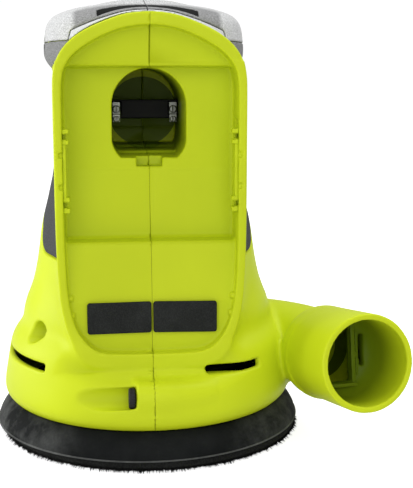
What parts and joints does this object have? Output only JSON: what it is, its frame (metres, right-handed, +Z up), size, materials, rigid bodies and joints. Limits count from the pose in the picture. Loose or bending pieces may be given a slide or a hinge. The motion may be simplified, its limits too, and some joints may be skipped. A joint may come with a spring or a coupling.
{
  "type": "orbital sander",
  "caption": "Cordless random orbit palm sander with an arch-topped battery bay, round sanding pad, grey palm grip and a side dust port.",
  "frame": {"origin": "on the motor shaft's axis, on the underside of the pad's hook layer", "axes": "+Z up along the motor shaft, -Y out of the battery bay, +X towards the dust port"},
  "size_m": [0.1635, 0.1299, 0.1785],
  "materials": {
    "lime_shell": "satin moulded plastic",
    "palm_grip": "fine textured soft overmould",
    "side_grip": "soft overmould",
    "skirt_rubber": "matt rubber with pale bloom",
    "bay_foam": "closed cell foam",
    "pad_foam": "open cell foam",
    "hook_pile": "short hook pile",
    "black_plastic": "moulded",
    "switch_rubber": "soft boot",
    "steel": "turned",
    "black_steel": "blackened screw",
    "cast_zinc": "die cast",
    "copper": "enamelled wire and segments",
    "brass": "plain",
    "ferrite": "pressed magnet",
    "carbon": "pressed brush",
    "red_wire": "insulation",
    "black_wire": "insulation"
  },
  "bodies": {
    "housing": {"left_housing": "lime_shell", "right_housing": "lime_shell", "top_grip_left": "palm_grip", "top_grip_right": "palm_grip", "lower_grip_left": "palm_grip", "lower_grip_right": "palm_grip", "side_grip_left": "side_grip", "side_grip_right": "side_grip", "brake_skirt": "skirt_rubber", "case_screw_1": "black_steel", "case_screw_2": "black_steel", "case_screw_3": "black_steel", "case_screw_4": "black_steel", "case_screw_5": "black_steel", "case_screw_6": "black_steel", "bay_foam_left": "bay_foam", "bay_foam_right": "bay_foam", "terminal_block": "black_plastic", "battery_contact_1": "brass", "battery_contact_2": "brass", "battery_contact_3": "brass", "battery_contact_4": "brass", "switch_body": "black_plastic", "switch_bezel": "switch_rubber", "positive_lead": "red_wire", "negative_lead": "black_wire", "fan_baffle": "black_plastic", "motor_can": "steel", "motor_end_cap": "black_plastic", "brush_left": "carbon", "brush_right": "carbon", "magnet_left": "ferrite", "magnet_right": "ferrite", "lower_bush": "brass", "upper_bush": "brass", "motor_screw_1": "steel", "motor_screw_2": "steel"},
    "rotor": {"motor_shaft": "steel", "armature_core": "steel", "lower_winding": "copper", "upper_winding": "copper", "commutator": "copper", "fan": "black_plastic", "eccentric_weight": "cast_zinc", "bearing_outer_race": "steel", "bearing_seal": "switch_rubber"},
    "pad": {"hook_layer": "hook_pile", "pad_foam": "pad_foam", "backing_plate": "black_plastic", "pad_hub": "cast_zinc", "bearing_inner_race": "steel", "pad_screw_1": "steel", "pad_screw_2": "steel", "pad_screw_3": "steel"},
    "rocker": {"switch_rocker": "switch_rubber"}
  },
  "joints": [
    {"name": "rotor_spin", "type": "hinge", "parent": "housing", "child": "rotor", "pos_m": [0, 0, 0.06], "axis": [0, 0, 1], "continuous": true},
    {"name": "pad_spin", "type": "hinge", "parent": "rotor", "child": "pad", "pos_m": [0.0012, 0, 0.0175], "axis": [0, 0, 1], "continuous": true},
    {"name": "rocker_tilt", "type": "hinge", "parent": "housing", "child": "rocker", "pos_m": [0, 0.059, 0.1565], "axis": [1, 0, 0], "range_deg": [-16, 0]}
  ]
}
